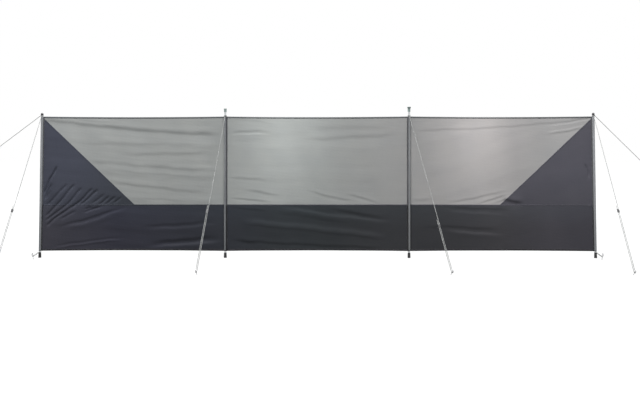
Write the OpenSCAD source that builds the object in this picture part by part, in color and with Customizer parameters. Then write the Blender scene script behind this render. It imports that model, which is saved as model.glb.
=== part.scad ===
// Beach windbreak: three bays of cloth on four sectioned poles, held by guy lines and pegs.
// Units are millimetres. +Z is up, +X runs along the cloth, the front is -Y.
// The origin is the centre of the left end foot's flat underside, on the ground.

/* [Cloth] */
// pole to pole distance of one bay
bay_width = 1667; // [1200:1:2000]
// height of the cloth from bottom edge to top edge, at the poles
cloth_height = 1221; // [900:1:1500]
// height of the cloth's bottom edge above the ground
ground_gap = 61; // [57:1:120]
// height of the dark band along the bottom
band_height = 417; // [250:1:600]
// how far the dark corner triangle reaches along the seam
triangle_run = 840; // [500:1:1100]
// thickness of one layer of cloth
cloth_thick = 1; // [0.6:0.1:2]
// dip of the top edge halfway between two poles
top_sag = 10; // [4:1:30]
// rise of the bottom edge halfway between two poles
bottom_rise = 8; // [4:1:30]
// height of the folded tape on both long edges
hem_height = 13; // [8:1:25]
// thickness of one layer of the folded tape
hem_thick = 0.6; // [0.4:0.1:1]

/* [Poles] */
// outside diameter of the pole tube
pole_diameter = 19; // [16:0.5:25]
// wall of the pole tube
pole_wall = 1; // [0.8:0.1:1.5]
// height of the joint between the two sections of a pole
joint_height = 520; // [400:1:650]
// outward lean of an end pole from top to foot, in degrees
end_lean = 0.95; // [0.3:0.05:2]
// how far the left middle pole stands above the top edge of the cloth
left_middle_stand = 55; // [45:1:120]
// how far the right middle pole stands above the top edge of the cloth
right_middle_stand = 62; // [50:1:120]
// length of the plug that joins the two sections
plug_length = 35; // [25:1:45]

/* [Sleeves] */
// room between the pole and the front of its sleeve
sleeve_slack = 2.4; // [1.5:0.1:5]
// width of the sewn edge on each side of a sleeve
sleeve_edge = 5; // [3:0.5:10]

/* [Tops] */
// height of the plain cap on the left middle pole
plain_cap_height = 30; // [26:1:60]
// width of the plain cap's rim
plain_cap_rim = 25; // [24:0.5:36]
// height of the flared cap on the right middle pole
flared_cap_height = 45; // [36:1:70]
// width of the flared cap's rim
flared_cap_rim = 34; // [28:1:45]
// wall of a cap round the pole
cap_wall = 2; // [1.5:0.1:3]
// diameter of the round knob on an end pole
knob_diameter = 24; // [22:0.5:32]
// height of the knob's straight skirt
knob_skirt = 10; // [7:1:14]

/* [Feet] */
// height of a foot
foot_height = 48; // [36:1:50]
// diameter of a foot at the ground
foot_diameter = 27; // [25:0.5:36]
// wall of a foot at its top
foot_wall = 1.6; // [1.2:0.1:2.5]
// solid thickness under the pole inside a foot
foot_sole = 9; // [6:1:14]

/* [Guys] */
// diameter of the guy cord
cord_diameter = 4; // [3:0.1:4.5]
// distance of the front and back pegs from the cloth
guy_reach = 1150; // [800:1:1500]
// sideways offset of the left end pole's front peg
shift_left_end = -8; // [-200:1:200]
// sideways offset of the left middle pole's front peg
shift_left_middle = -95; // [-300:1:300]
// sideways offset of the right middle pole's front peg
shift_right_middle = 225; // [-300:1:300]
// sideways offset of the right end pole's front peg
shift_right_end = -28; // [-200:1:200]
// distance of the left side peg from its pole
side_left = 1845; // [1200:1:2200]
// distance of the right side peg from its pole
side_right = 1438; // [1200:1:2200]
// how far the side pegs stand behind the cloth
side_back = 400; // [200:1:700]
// distance from a peg up its cord to the runner
runner_up = 590; // [300:1:800]
// distance from the right middle front peg to its runner
runner_up_low = 440; // [300:1:800]
// length of a runner
runner_length = 28; // [25:1:60]
// thickness of a runner
runner_thick = 7.5; // [7:0.5:12]
// diameter of the knot above a runner
knot_diameter = 9; // [8:0.5:12]
// length of the loose end above the knot
tail_length = 34; // [15:1:60]

/* [Pegs] */
// wire diameter of a peg
peg_diameter = 5.5; // [4:0.1:7]
// height of the cord's loop on a peg
loop_height = 26; // [20:1:40]
// length of the peg's stem above the loop
peg_stem = 24; // [16:1:40]
// inside radius of the peg's hook
hook_radius = 8; // [6:0.5:12]
// length of the hook's free tip
hook_tip = 14; // [8:1:25]
// how far a foot loop's peg stands in front of the cloth
foot_peg_front = 130; // [100:1:300]
// how far a foot loop's peg stands outward of its foot
foot_peg_out = 20; // [5:1:120]

/* [Fits] */
// room between pieces that rest on each other
seat = 0.2; // [0.1:0.05:0.3]

/* [Hidden] */
steps = 12;
cloth_bottom = ground_gap;
cloth_top = ground_gap + cloth_height;
lean_shift = cloth_top * tan(end_lean);
axis_x = [for (i = [0:3]) lean_shift + i * bay_width];
foot_x = [0, axis_x[1], axis_x[2], axis_x[3] + lean_shift];
lean = [end_lean, 0, 0, -end_lean];
seam_z = ground_gap + band_height;
pole_radius = pole_diameter / 2;
cloth_front = pole_radius + hem_thick + seat;
sleeve_inner = pole_radius + sleeve_slack;
sleeve_outer = sleeve_inner + cloth_thick;
plug_radius = pole_radius - pole_wall - seat;
cord_radius = cord_diameter / 2;
tie_radius = 0.8 * cord_diameter;
ring_radius = pole_radius + cord_radius + seat;
tie_reach = ring_radius + 0.6 * cord_diameter;
ring_first = cloth_top + hem_thick + seat + tie_radius;
ring_second = ring_first + cord_diameter + seat;
rings_top = ring_second + tie_radius + seat;
strand_pitch = peg_diameter + cord_diameter + 2 * seat;
runner_width = strand_pitch + cord_diameter + 4;
middle_top = [0, cloth_top + left_middle_stand, cloth_top + right_middle_stand];
cap_height = [0, plain_cap_height, flared_cap_height];
cap_rim = [0, plain_cap_rim, flared_cap_rim];
end_top = rings_top + knob_skirt;
foot_ring_z = foot_height + seat + tie_radius;
back_reach = guy_reach;

// guys: pole number, ring height, peg position on the ground, distance of the runner
function front_peg(i, shift) = [axis_x[i] + shift, -guy_reach, loop_height];
GUYS = [
    [0, ring_first, front_peg(0, shift_left_end), runner_up],
    [1, ring_first, front_peg(1, shift_left_middle), runner_up],
    [2, ring_first, front_peg(2, shift_right_middle), runner_up_low],
    [3, ring_first, front_peg(3, shift_right_end), runner_up],
    [0, ring_second, [axis_x[0] - side_left, side_back, loop_height], runner_up],
    [3, ring_second, [axis_x[3] + side_right, side_back, loop_height], runner_up],
    [1, ring_second, [axis_x[1] + shift_left_middle, back_reach, loop_height], runner_up],
    [2, ring_second, [axis_x[2] + shift_right_middle, back_reach, loop_height], runner_up_low]];

// outside edges of the cloth, which follow the end poles
function pole_x(i, z) = foot_x[i] + z * tan(lean[i]);
function edge_left(z) = pole_x(0, z) - sleeve_outer;
function edge_right(z) = pole_x(3, z) + sleeve_outer;
// dip of a hem at a share of the way along a bay, 1 at the middle and 0 at the poles
function dip(share) = 4 * share * (1 - share);
function top_z(share) = cloth_top - top_sag * dip(share);
function bottom_z(share) = cloth_bottom + bottom_rise * dip(share);
function top_run(bay) = [for (k = [0:steps]) [axis_x[bay] + bay_width * k / steps, top_z(k / steps)]];
function bottom_run(bay) = [for (k = [0:steps]) [axis_x[bay] + bay_width * k / steps, bottom_z(k / steps)]];
function reversed(list) = [for (k = [len(list) - 1:-1:0]) list[k]];
function inner(list) = [for (k = [1:len(list) - 2]) list[k]];
function raised(list, by) = [for (p = list) [p[0], p[1] + by]];

// whole outline of both edges, for the tapes
top_line = concat([[edge_left(cloth_top), cloth_top]],
    inner(top_run(0)), top_run(1), inner(top_run(2)),
    [[edge_right(cloth_top), cloth_top]]);
bottom_line = concat([[edge_left(cloth_bottom), cloth_bottom]],
    inner(bottom_run(0)), bottom_run(1), inner(bottom_run(2)),
    [[edge_right(cloth_bottom), cloth_bottom]]);

// a flat outline drawn in X and Z, made solid between two depths
module upright(points, near, far) {
    translate([0, far, 0])
        rotate([90, 0, 0])
            linear_extrude(far - near)
                polygon(points);
}

module cloth(points) {
    upright(points, cloth_front, cloth_front + cloth_thick);
}

// the folded tape: a wrap round the edge with the cloth's own room taken out
module tape(line, inward, outward, near, far) {
    difference() {
        upright(concat(raised(line, outward), reversed(raised(line, inward))), near, far);
        upright(concat(line, reversed(raised(line, 3 * inward))),
            cloth_front, cloth_front + cloth_thick);
    }
}

module top_tape() {
    tape(top_line, -hem_height, hem_thick,
        cloth_front - hem_thick, cloth_front + cloth_thick + hem_thick);
}

module bottom_tape() {
    tape(bottom_line, hem_height, -hem_thick,
        cloth_front - hem_thick, cloth_front + cloth_thick + hem_thick);
}

// the room the tapes take on the front of the cloth, for the sleeves to clear
module tape_room(line, inward, outward) {
    upright(concat(raised(line, outward), reversed(raised(line, inward))),
        cloth_front - hem_thick, cloth_front + cloth_thick);
}

// frame of a pole: its origin is the middle of the foot's underside and +Z runs up the tube
module pole_frame(i) {
    translate([foot_x[i], 0, 0])
        rotate([0, lean[i], 0])
            children();
}

module above_ground() {
    difference() {
        children();
        translate([-50000, -50000, -1000])
            cube([100000, 100000, 1000]);
    }
}

module pole_upper(i, top) {
    pole_frame(i)
        translate([0, 0, joint_height])
            difference() {
                cylinder(h = top - joint_height, r = pole_radius, $fn = 48);
                translate([0, 0, -1])
                    cylinder(h = top - joint_height + 2, r = pole_radius - pole_wall, $fn = 48);
            }
}

// the lower section: a tube with a solid plug that fills its top and stands into the upper tube
module pole_lower(i) {
    base = foot_sole + seat;
    pole_frame(i)
        difference() {
            union() {
                translate([0, 0, base])
                    cylinder(h = joint_height - seat - base, r = pole_radius, $fn = 48);
                translate([0, 0, joint_height - plug_length])
                    cylinder(h = 2 * plug_length, r = plug_radius, $fn = 48);
            }
            translate([0, 0, base - 1])
                cylinder(h = joint_height - plug_length - base + 1, r = pole_radius - pole_wall, $fn = 48);
        }
}

module foot(i) {
    shoulder = pole_radius + foot_wall + 1;
    above_ground()
        pole_frame(i)
            rotate_extrude($fn = 48)
                polygon([[0, -4], [foot_diameter / 2, -4], [foot_diameter / 2, 6],
                    [shoulder, foot_height - 10], [shoulder, foot_height - 6],
                    [pole_radius + foot_wall, foot_height - 5],
                    [pole_radius + foot_wall, foot_height],
                    [pole_radius + seat, foot_height], [pole_radius + seat, foot_sole], [0, foot_sole]]);
}

// cap: a socket round the pole that opens into a rim
module cap(i) {
    height = cap_height[i];
    rim = cap_rim[i] / 2;
    socket = height * 0.45;
    neck = pole_radius + seat + cap_wall;
    pole_frame(i)
        translate([0, 0, middle_top[i] - socket])
            rotate_extrude($fn = 48)
                polygon([[pole_radius + seat, 0], [neck, 0], [neck, socket],
                    [neck + (rim - neck) * 0.3, height * 0.7], [rim, height - 3], [rim, height],
                    [0, height], [0, socket + seat], [pole_radius + seat, socket + seat]]);
}

module knob(i) {
    radius = knob_diameter / 2;
    pole_frame(i)
        translate([0, 0, rings_top])
            difference() {
                union() {
                    cylinder(h = knob_skirt, r = radius, $fn = 48);
                    translate([0, 0, knob_skirt])
                        intersection() {
                            sphere(r = radius, $fn = 48);
                            translate([0, 0, radius / 2])
                                cube([2 * radius + 2, 2 * radius + 2, radius], center = true);
                        }
                }
                translate([0, 0, -1])
                    cylinder(h = knob_skirt + 1 + seat, r = pole_radius + seat, $fn = 48);
            }
}

// cross-section of a sleeve: an arch over the front of the pole with a sewn edge on the chosen sides
module sleeve_section(edge_left_side, edge_right_side) {
    difference() {
        union() {
            circle(r = sleeve_outer, $fn = 48);
            translate([-sleeve_outer, 0])
                square([2 * sleeve_outer, cloth_front]);
            translate([-sleeve_outer - edge_left_side, cloth_front - cloth_thick])
                square([2 * sleeve_outer + edge_left_side + edge_right_side, cloth_thick]);
        }
        circle(r = sleeve_inner, $fn = 48);
        translate([-sleeve_inner, 0])
            square([2 * sleeve_inner, cloth_front + sleeve_outer]);
        translate([-2 * sleeve_outer, cloth_front])
            square([4 * sleeve_outer, 2 * sleeve_outer]);
    }
}

module clear_of_tapes() {
    difference() {
        children();
        tape_room(top_line, -hem_height, hem_thick);
        tape_room(bottom_line, hem_height, -hem_thick);
    }
}

module sleeve_middle(i) {
    clear_of_tapes()
        translate([axis_x[i], 0, cloth_bottom])
            linear_extrude(cloth_height)
                sleeve_section(sleeve_edge, sleeve_edge);
}

// an end sleeve leans with its pole and is cut level at both edges of the cloth
module sleeve_end(i, edge_left_side, edge_right_side) {
    big = 4 * sleeve_outer + 2 * lean_shift;
    clear_of_tapes()
        intersection() {
            pole_frame(i)
                linear_extrude(cloth_top + 20)
                    sleeve_section(edge_left_side, edge_right_side);
            translate([axis_x[i] - big, -big, cloth_bottom])
                cube([2 * big, 2 * big, cloth_height]);
        }
}

module panel_light(bay) {
    left_end = bay == 0;
    right_end = bay == 2;
    cloth(concat(
        [[left_end ? axis_x[0] + triangle_run : axis_x[bay], seam_z]],
        [[left_end ? edge_left(cloth_top) : axis_x[bay], cloth_top]],
        inner(top_run(bay)),
        [[right_end ? edge_right(cloth_top) : axis_x[bay + 1], cloth_top]],
        [[right_end ? axis_x[3] - triangle_run : axis_x[bay + 1], seam_z]]));
}

module band(bay) {
    left_end = bay == 0;
    right_end = bay == 2;
    cloth(concat(
        [[left_end ? edge_left(seam_z) : axis_x[bay], seam_z]],
        [[right_end ? edge_right(seam_z) : axis_x[bay + 1], seam_z]],
        [[right_end ? edge_right(cloth_bottom) : axis_x[bay + 1], cloth_bottom]],
        reversed(inner(bottom_run(bay))),
        [[left_end ? edge_left(cloth_bottom) : axis_x[bay], cloth_bottom]]));
}

module triangle_left() {
    cloth([[edge_left(cloth_top), cloth_top], [axis_x[0] + triangle_run, seam_z],
        [edge_left(seam_z), seam_z]]);
}

module triangle_right() {
    cloth([[edge_right(cloth_top), cloth_top], [axis_x[3] - triangle_run, seam_z],
        [edge_right(seam_z), seam_z]]);
}

// frame of a guy: its origin is the middle of the loop on the peg and +Z runs up the cord
module guy_frame(from, to) {
    run = to - from;
    flat = norm([run[0], run[1]]);
    translate(from)
        rotate([0, atan2(flat, run[2]), atan2(run[1], run[0])])
            children();
}

// the tie where a guy leaves its ring, and the point its frame aims at, so the main strand meets the tie
function heading(i, peg) = atan2(peg[1], peg[0] - axis_x[i]);
function guy_start(g) = [
    pole_x(g[0], g[1]) + tie_reach * cos(heading(g[0], g[2])),
    tie_reach * sin(heading(g[0], g[2])), g[1]];
function guy_aim(g) =
    let (run = guy_start(g) - g[2])
    guy_start(g) + [-run[1], run[0], 0] / norm([run[0], run[1]]) * strand_pitch / 2;

module ring(radius) {
    rotate_extrude($fn = 48)
        translate([radius, 0])
            circle(r = cord_radius, $fn = 24);
}

// half of a ring round the peg, open towards +Z, its middle at the origin
module peg_loop() {
    rotate([0, 90, 0])
        rotate([0, 0, -90])
            rotate_extrude(angle = 180, $fn = 48)
                translate([strand_pitch / 2, 0])
                    circle(r = cord_radius, $fn = 24);
}

// a guy: the ring on the pole, the main strand, the return strand with its knot, and the loop on the peg
module guy(g) {
    back = g[3] + runner_length;
    translate([pole_x(g[0], g[1]), 0, g[1]])
        rotate([0, 0, heading(g[0], g[2]) + 90]) {
            ring(ring_radius);
            translate([0, -tie_reach, 0])
                sphere(r = tie_radius, $fn = 24);
        }
    guy_frame(g[2], guy_aim(g)) {
        translate([0, -strand_pitch / 2, 0])
            cylinder(h = norm(guy_aim(g) - g[2]), r = cord_radius, $fn = 24);
        translate([0, strand_pitch / 2, 0])
            cylinder(h = back + knot_diameter + tail_length, r = cord_radius, $fn = 24);
        translate([0, strand_pitch / 2, back + knot_diameter / 2 + seat])
            sphere(r = knot_diameter / 2, $fn = 24);
        peg_loop();
    }
}

module runner(g) {
    guy_frame(g[2], guy_aim(g))
        translate([0, 0, g[3]])
            difference() {
                intersection() {
                    translate([-runner_thick / 2, -runner_width / 2, 0])
                        cube([runner_thick, runner_width, runner_length]);
                    translate([0, 0, runner_length / 2])
                        rotate([0, 90, 0])
                            cylinder(h = 2 * runner_thick, r = norm([runner_width, runner_length]) / 2 - 2,
                                center = true, $fn = 48);
                }
                for (side = [-1, 1])
                    translate([0, side * strand_pitch / 2, -1])
                        cylinder(h = runner_length + 2, r = cord_radius + seat, $fn = 24);
            }
}

// a wire peg square to its cord: a stem through the loop and a hook that opens away from the cord
module peg(from, to) {
    above_ground()
        guy_frame(from, to) {
            translate([-peg_stem, 0, 0])
                rotate([0, 90, 0])
                    cylinder(h = peg_stem + 4 * loop_height, r = peg_diameter / 2, $fn = 24);
            translate([-peg_stem, 0, -hook_radius])
                rotate([90, 0, 0])
                    rotate([0, 0, 90])
                        rotate_extrude(angle = 180, $fn = 48)
                            translate([hook_radius, 0])
                                circle(r = peg_diameter / 2, $fn = 24);
            translate([-peg_stem, 0, -2 * hook_radius])
                rotate([0, 90, 0])
                    cylinder(h = hook_tip, r = peg_diameter / 2, $fn = 24);
        }
}

module guy_peg(g) {
    peg(g[2], guy_aim(g));
}

// foot loops: both strands of a cord from a ring on the end pole to a peg near the foot
function outward(i) = i == 0 ? -1 : 1;
function foot_axis(i) = pole_x(i, foot_ring_z);
function foot_peg_at(i) = [foot_axis(i) + outward(i) * foot_peg_out, -foot_peg_front, loop_height];
function foot_start(i) =
    let (out = [outward(i) * foot_peg_out, -foot_peg_front, 0],
        reach = sqrt(ring_radius * ring_radius - strand_pitch * strand_pitch / 4))
    [foot_axis(i), 0, foot_ring_z] + out / norm(out) * (reach + 0.6 * cord_diameter);

module foot_loop(i) {
    length = norm(foot_start(i) - foot_peg_at(i));
    translate([foot_axis(i), 0, foot_ring_z])
        ring(ring_radius);
    guy_frame(foot_peg_at(i), foot_start(i)) {
        for (side = [-1, 1]) {
            translate([0, side * strand_pitch / 2, 0])
                cylinder(h = length, r = cord_radius, $fn = 24);
            translate([0, side * strand_pitch / 2, length])
                sphere(r = tie_radius, $fn = 24);
        }
        peg_loop();
    }
}

module foot_peg(i) {
    peg(foot_peg_at(i), foot_start(i));
}

steel = [0.74, 0.75, 0.76];
black = [0.1, 0.1, 0.11];
grey_green = [0.52, 0.6, 0.58];
light_cloth = [0.61, 0.64, 0.64];
dark_cloth = [0.21, 0.22, 0.25];
sleeve_cloth = [0.5, 0.52, 0.53];
tape_cloth = [0.3, 0.31, 0.33];
cord = [0.76, 0.77, 0.76];

module pole_upper_left_end() { color(steel) pole_upper(0, end_top); }
module pole_upper_left_middle() { color(steel) pole_upper(1, middle_top[1]); }
module pole_upper_right_middle() { color(steel) pole_upper(2, middle_top[2]); }
module pole_upper_right_end() { color(steel) pole_upper(3, end_top); }
module pole_lower_left_end() { color(steel) pole_lower(0); }
module pole_lower_left_middle() { color(steel) pole_lower(1); }
module pole_lower_right_middle() { color(steel) pole_lower(2); }
module pole_lower_right_end() { color(steel) pole_lower(3); }
module foot_left_end() { color(black) foot(0); }
module foot_left_middle() { color(black) foot(1); }
module foot_right_middle() { color(black) foot(2); }
module foot_right_end() { color(black) foot(3); }
module knob_left_end() { color(black) knob(0); }
module cap_left_middle() { color(grey_green) cap(1); }
module cap_right_middle() { color(grey_green) cap(2); }
module knob_right_end() { color(black) knob(3); }
module panel_light_left() { color(light_cloth) panel_light(0); }
module panel_light_middle() { color(light_cloth) panel_light(1); }
module panel_light_right() { color(light_cloth) panel_light(2); }
module band_left() { color(dark_cloth) band(0); }
module band_middle() { color(dark_cloth) band(1); }
module band_right() { color(dark_cloth) band(2); }
module triangle_left_cloth() { color(dark_cloth) triangle_left(); }
module triangle_right_cloth() { color(dark_cloth) triangle_right(); }
module sleeve_left_end() { color(sleeve_cloth) sleeve_end(0, 0, sleeve_edge); }
module sleeve_left_middle() { color(sleeve_cloth) sleeve_middle(1); }
module sleeve_right_middle() { color(sleeve_cloth) sleeve_middle(2); }
module sleeve_right_end() { color(sleeve_cloth) sleeve_end(3, sleeve_edge, 0); }
module top_hem() { color(tape_cloth) top_tape(); }
module bottom_hem() { color(tape_cloth) bottom_tape(); }
module guy_front_left_end() { color(cord) guy(GUYS[0]); }
module guy_front_left_middle() { color(cord) guy(GUYS[1]); }
module guy_front_right_middle() { color(cord) guy(GUYS[2]); }
module guy_front_right_end() { color(cord) guy(GUYS[3]); }
module guy_side_left() { color(cord) guy(GUYS[4]); }
module guy_side_right() { color(cord) guy(GUYS[5]); }
module guy_back_left_middle() { color(cord) guy(GUYS[6]); }
module guy_back_right_middle() { color(cord) guy(GUYS[7]); }
module runners_front() { color(black) for (k = [0:3]) runner(GUYS[k]); }
module runners_rear() { color(black) for (k = [4:7]) runner(GUYS[k]); }
module pegs_front() { color(steel) for (k = [0:3]) guy_peg(GUYS[k]); }
module pegs_rear() { color(steel) for (k = [4:7]) guy_peg(GUYS[k]); }
module foot_loop_left() { color(cord) foot_loop(0); }
module foot_loop_right() { color(cord) foot_loop(3); }
module foot_pegs() { color(steel) { foot_peg(0); foot_peg(3); } }

pole_upper_left_end();
pole_upper_left_middle();
pole_upper_right_middle();
pole_upper_right_end();
pole_lower_left_end();
pole_lower_left_middle();
pole_lower_right_middle();
pole_lower_right_end();
foot_left_end();
foot_left_middle();
foot_right_middle();
foot_right_end();
knob_left_end();
cap_left_middle();
cap_right_middle();
knob_right_end();
panel_light_left();
panel_light_middle();
panel_light_right();
band_left();
band_middle();
band_right();
triangle_left_cloth();  // triangle_left
triangle_right_cloth();  // triangle_right
sleeve_left_end();
sleeve_left_middle();
sleeve_right_middle();
sleeve_right_end();
top_hem();
bottom_hem();
guy_front_left_end();
guy_front_left_middle();
guy_front_right_middle();
guy_front_right_end();
guy_side_left();
guy_side_right();
guy_back_left_middle();
guy_back_right_middle();
runners_front();
runners_rear();
pegs_front();
pegs_rear();
foot_loop_left();
foot_loop_right();
foot_pegs();
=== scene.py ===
"""Beach windbreak: creased cloth bays, sleeves, tapes, seams, stitching, twisted guys and fittings."""
import math

import bmesh
import bpy
import numpy as np
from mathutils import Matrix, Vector


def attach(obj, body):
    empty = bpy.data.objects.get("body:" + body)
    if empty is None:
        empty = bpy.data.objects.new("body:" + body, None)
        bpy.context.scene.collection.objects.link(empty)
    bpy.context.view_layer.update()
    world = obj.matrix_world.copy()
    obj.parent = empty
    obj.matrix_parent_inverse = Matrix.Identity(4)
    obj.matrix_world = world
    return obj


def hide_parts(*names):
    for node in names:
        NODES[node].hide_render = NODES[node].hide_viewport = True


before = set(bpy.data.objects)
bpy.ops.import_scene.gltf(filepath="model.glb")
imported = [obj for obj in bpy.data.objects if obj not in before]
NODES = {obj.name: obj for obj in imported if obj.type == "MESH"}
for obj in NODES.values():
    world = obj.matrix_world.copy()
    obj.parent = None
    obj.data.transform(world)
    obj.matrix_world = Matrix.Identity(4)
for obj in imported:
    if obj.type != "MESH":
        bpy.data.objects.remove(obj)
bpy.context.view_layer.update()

SCENE = bpy.context.scene

# Sizes of the windbreak in metres, and the lean of its end poles in degrees, as in the part's source
BAY = 1.667
CLOTH_LOW = 0.061
CLOTH_HIGH = 1.282
SEAM = 0.478
TRIANGLE_RUN = 0.84
TAPE_HEIGHT = 0.013
END_LEAN = 0.95
LEAN = math.tan(math.radians(END_LEAN))
LEAN_SHIFT = CLOTH_HIGH * LEAN
POLE_TOPS = [LEAN_SHIFT + bay * BAY for bay in range(4)]
POLE_FEET = [0.0, POLE_TOPS[1], POLE_TOPS[2], POLE_TOPS[3] + LEAN_SHIFT]
POLE_LEANS = [LEAN, 0.0, 0.0, -LEAN]
POLE_NAMES = ["left_end", "left_middle", "right_middle", "right_end"]
CLOTH_FRONT = 0.0103
CLOTH_MARGIN = 0.0129
SLEEVE_RADIUS = 0.0124
SLEEVE_EDGE = 0.005

# The cloth is a little thinner than in the part's source, and its long edges bow less between poles.
CLOTH_THICK = 0.0008
TOP_SAG = 0.006
BOTTOM_RISE = 0.005

# Guy lines in metres, as in the part's source
CORD_RADIUS = 0.002
STRAND_PITCH = 0.0099
RING_RADIUS = 0.0117
TIE_REACH = 0.0141
RING_FIRST = 1.2860
RING_SECOND = 1.2902
FOOT_RING = 0.0514
LOOP_HEIGHT = 0.026
GUY_REACH = 1.150
PEG_SHIFTS = [-0.008, -0.095, 0.225, -0.028]
SIDE_LEFT = 1.845
SIDE_RIGHT = 1.438
SIDE_BACK = 0.400
RUNNER_UP = 0.590
RUNNER_UP_LOW = 0.440
RUNNER_LENGTH = 0.028
KNOT_SIZE = 0.009
TAIL_LENGTH = 0.034
FOOT_PEG_OUT = 0.020
FOOT_PEG_FRONT = 0.130

# The run of a cord is laid a little thicker than in the part's source.
LAID_RADIUS = 0.0026


def smooth_step(low, high, value):
    share = np.clip((value - low) / (high - low), 0.0, 1.0)
    return share * share * (3.0 - 2.0 * share)


def pole_at(pole, z):
    return POLE_FEET[pole] + z * POLE_LEANS[pole]


def cloth_left(z):
    return pole_at(0, z) - CLOTH_MARGIN


def cloth_right(z):
    return pole_at(3, z) + CLOTH_MARGIN


def bay_dip(x):
    """How far a place is from the poles of its bay, as 0 at the poles and 1 halfway between them."""
    share = (x - POLE_TOPS[0]) / BAY % 1.0
    inside = (x > POLE_TOPS[0]) & (x < POLE_TOPS[3])
    return np.where(inside, 4.0 * share * (1.0 - share), 0.0)


def cloth_top(x):
    return CLOTH_HIGH - TOP_SAG * bay_dip(x)


def cloth_bottom(x):
    return CLOTH_LOW + BOTTOM_RISE * bay_dip(x)


def left_slant(z):
    share = (CLOTH_HIGH - z) / (CLOTH_HIGH - SEAM)
    return cloth_left(CLOTH_HIGH) + share * (POLE_TOPS[0] + TRIANGLE_RUN - cloth_left(CLOTH_HIGH))


def right_slant(z):
    share = (CLOTH_HIGH - z) / (CLOTH_HIGH - SEAM)
    return cloth_right(CLOTH_HIGH) + share * (POLE_TOPS[3] - TRIANGLE_RUN - cloth_right(CLOTH_HIGH))


# The lie of the cloth. Folds and creases are given by a steepness in hundredths, a half width in
# millimetres and points in centimetres, along from the left pole and up from the ground.

# Slack folds that hang over: a narrow face turned down between two wide ones. A negative steepness
# turns it up.
SLACK_FOLDS = [
    # light cloth, left bay
    (29, 17, [(-9, 127.2), (13, 124), (60, 118.8), (110, 114.3), (165, 111.3)]),
    (18, 8, [(24, 126.4), (75, 121.5)]),
    (10, 13, [(30, 103.6), (110, 102.9), (150, 102.9)]),
    (18, 15, [(69, 93.6), (110, 94.2), (160, 95.5)]),
    (23, 18, [(36, 88.4), (87, 83.8), (120, 81.1), (162, 79.2)]),
    (11, 12, [(52, 81.2), (98, 76), (150, 72.6)]),
    (20, 14, [(58, 69.2), (98, 64.4), (120, 61.7), (155, 59.4)]),
    (14, 9, [(84, 54.4), (115, 52.6), (132, 51.7)]),
    # light cloth, middle bay
    (20, 10, [(167, 114.6), (188, 115), (210, 114.6)]),
    (-26, 7, [(167, 112.3), (210, 112.3)]),
    (6, 12, [(169, 107), (207, 107)]),
    (13, 8, [(165, 126.8), (190, 124.6), (214, 121)]),
    (16, 18, [(235, 107.6), (257, 108), (325, 112)]),
    (10, 24, [(238, 117.5), (320, 118.4)]),
    (24, 10, [(166, 73.7), (209, 69.8)]),
    (28, 11, [(182, 62), (219, 56)]),
    (34, 8, [(166, 55.5), (195, 51.7), (212, 50.2)]),
    (31, 9, [(238, 62), (263, 55.2), (288, 50)]),
    (36, 8, [(274, 58.2), (292, 54), (310, 48.2)]),
    (7, 6, [(312, 124.5), (326, 118)]),
    # light cloth, right bay
    (20, 10, [(334, 115), (373, 116.5), (407, 117.9), (430, 119.7), (464, 122.4), (498, 126.6),
              (512, 128.4)]),
    (-30, 6, [(456, 119.2), (497, 125.2), (509, 127)]),
    (26, 8, [(452, 111), (488, 117), (497, 118.5)]),
    (-22, 6, [(454, 113.2), (488, 119), (497, 120.5)]),
    (23, 10, [(362, 48.6), (396, 55.3), (428, 61.6)]),
    (33, 8, [(392, 48), (427, 58.8)]),
    (20, 7, [(408, 48.4), (424, 54.4)]),
    (6, 8, [(445, 86), (456, 88)]),
    (15, 13, [(334, 52.6), (354, 52.6)]),
    # dark corner, right
    (60, 17, [(416, 53.6), (438, 49.6)]),
    # dark band, left bay
    (-40, 12, [(164, 30.8), (118.6, 27.1), (91, 26.1)]),
    (24, 11, [(160, 33.6), (118.6, 30.1), (86, 28.6)]),
    (38, 17, [(163, 19.4), (130, 16.7), (96, 13)]),
    (-56, 15, [(168, 15.1), (130, 12.5), (92, 9)]),
    (34, 11, [(80, 46.8), (54, 40.2), (40, 35.2), (28, 32), (8, 27.2)]),
    (-52, 13, [(14, 26.4), (38.7, 31.9), (53, 36.2), (66.5, 41.6), (82, 46.4)]),
    (10, 10, [(76, 37.6), (44, 30.4)]),
    (-36, 9, [(80, 17), (50.6, 15.2), (5.3, 8)]),
    (22, 8, [(78, 18.8), (50.6, 17.2), (5.3, 10)]),
    (26, 8, [(78, 15.2), (50.6, 13.6), (5.3, 6.4)]),
    # dark band, middle bay
    (24, 11, [(172, 46), (207, 41.7)]),
    (-36, 14, [(214, 46.4), (263, 39), (322, 32.2)]),
    (16, 16, [(206, 42.5), (242, 37.3), (284, 31)]),
    (34, 15, [(257, 46), (285, 40), (317, 35.6)]),
    (-32, 22, [(178, 34.9), (217, 31.2), (252, 27.7), (317, 20.2)]),
    (18, 11, [(178, 30.8), (217, 27.1), (252, 23.6), (317, 16.1)]),
    (32, 13, [(175, 15.4), (207, 13.6), (240, 11.8), (314, 8.6)]),
    (32, 15, [(170, 17.7), (199, 11.8)]),
    # dark band, right bay
    (24, 11, [(362, 46.2), (429, 43.5)]),
    (-22, 11, [(362, 43.2), (391, 41.4), (428, 38.6)]),
    (-46, 14, [(362, 25.4), (422, 20.2)]),
    (20, 12, [(339, 28.4), (380, 28), (419, 25.6)]),
    (10, 6, [(458.7, 45.3), (463, 42.6)]),
]

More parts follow.
